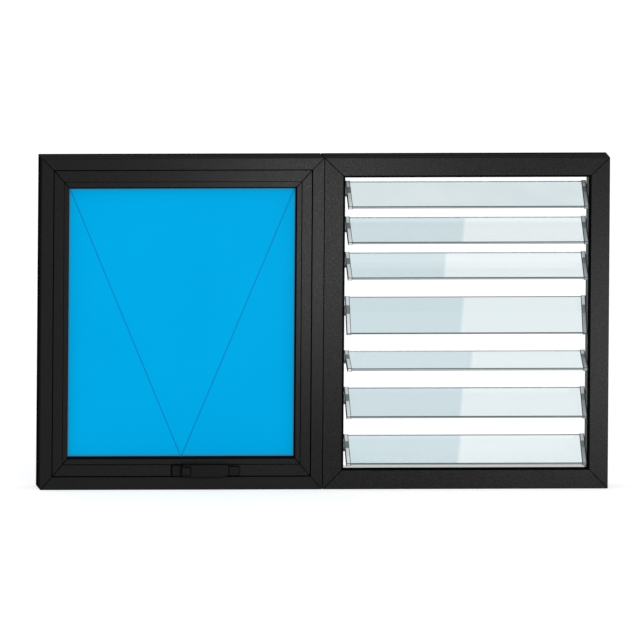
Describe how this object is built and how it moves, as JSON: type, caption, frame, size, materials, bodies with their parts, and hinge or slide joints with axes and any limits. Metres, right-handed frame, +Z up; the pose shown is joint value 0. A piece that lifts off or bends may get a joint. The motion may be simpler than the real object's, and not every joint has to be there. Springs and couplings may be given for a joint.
{
  "type": "ventilator window",
  "caption": "Black aluminium window with a top-hung sash, blue pane and rail handle, joined to a unit of tilted clear glass louvre blades.",
  "frame": {"origin": "middle of the flat sill face that the window stands on", "axes": "+X along the window towards the louvre unit, +Y from the front face to the back, +Z up"},
  "size_m": [1.42, 0.1393, 0.83],
  "materials": {
    "frame_coat": "fine textured matt black coat on hollow extrusions",
    "sash_coat": "fine matt black coat on hollow extrusions",
    "blue_pane": "glass with a blue film, almost opaque",
    "louvre_glass": "clear float glass, ground long edges",
    "gasket_rubber": "black gasket rubber",
    "clip_metal": "satin mill finish",
    "hub_plastic": "dark grey moulded plastic",
    "gallery_metal": "grey satin channel",
    "handle_coat": "die casting with a matt black coat"
  },
  "bodies": {
    "root": {"awning_frame_cleats": "gallery_metal", "awning_frame_head": "frame_coat", "awning_frame_left_jamb": "frame_coat", "awning_frame_right_jamb": "frame_coat", "awning_frame_sill": "frame_coat", "back_glazing_gasket": "gasket_rubber", "bottom_glazing_bead": "sash_coat", "coupling_keys": "frame_coat", "front_glazing_gasket": "gasket_rubber", "glass_setting_blocks": "gasket_rubber", "handle_base": "handle_coat", "handle_lever": "handle_coat", "left_blade_clips": "clip_metal", "left_glazing_bead": "sash_coat", "left_louvre_gallery": "gallery_metal", "left_pivot_hubs": "hub_plastic", "louvre_blade_1": "louvre_glass", "louvre_blade_2": "louvre_glass", "louvre_blade_3": "louvre_glass", "louvre_blade_4": "louvre_glass", "louvre_blade_5": "louvre_glass", "louvre_blade_6": "louvre_glass", "louvre_blade_7": "louvre_glass", "louvre_frame_cleats": "gallery_metal", "louvre_frame_head": "frame_coat", "louvre_frame_left_jamb": "frame_coat", "louvre_frame_right_jamb": "frame_coat", "louvre_frame_sill": "frame_coat", "right_blade_clips": "clip_metal", "right_glazing_bead": "sash_coat", "right_louvre_gallery": "gallery_metal", "right_pivot_hubs": "hub_plastic", "sash_bottom_rail": "sash_coat", "sash_corner_cleats": "gallery_metal", "sash_glass": "blue_pane", "sash_left_stile": "sash_coat", "sash_right_stile": "sash_coat", "sash_top_rail": "sash_coat", "sash_weather_seal": "gasket_rubber", "top_glazing_bead": "sash_coat"}
  },
  "joints": []
}
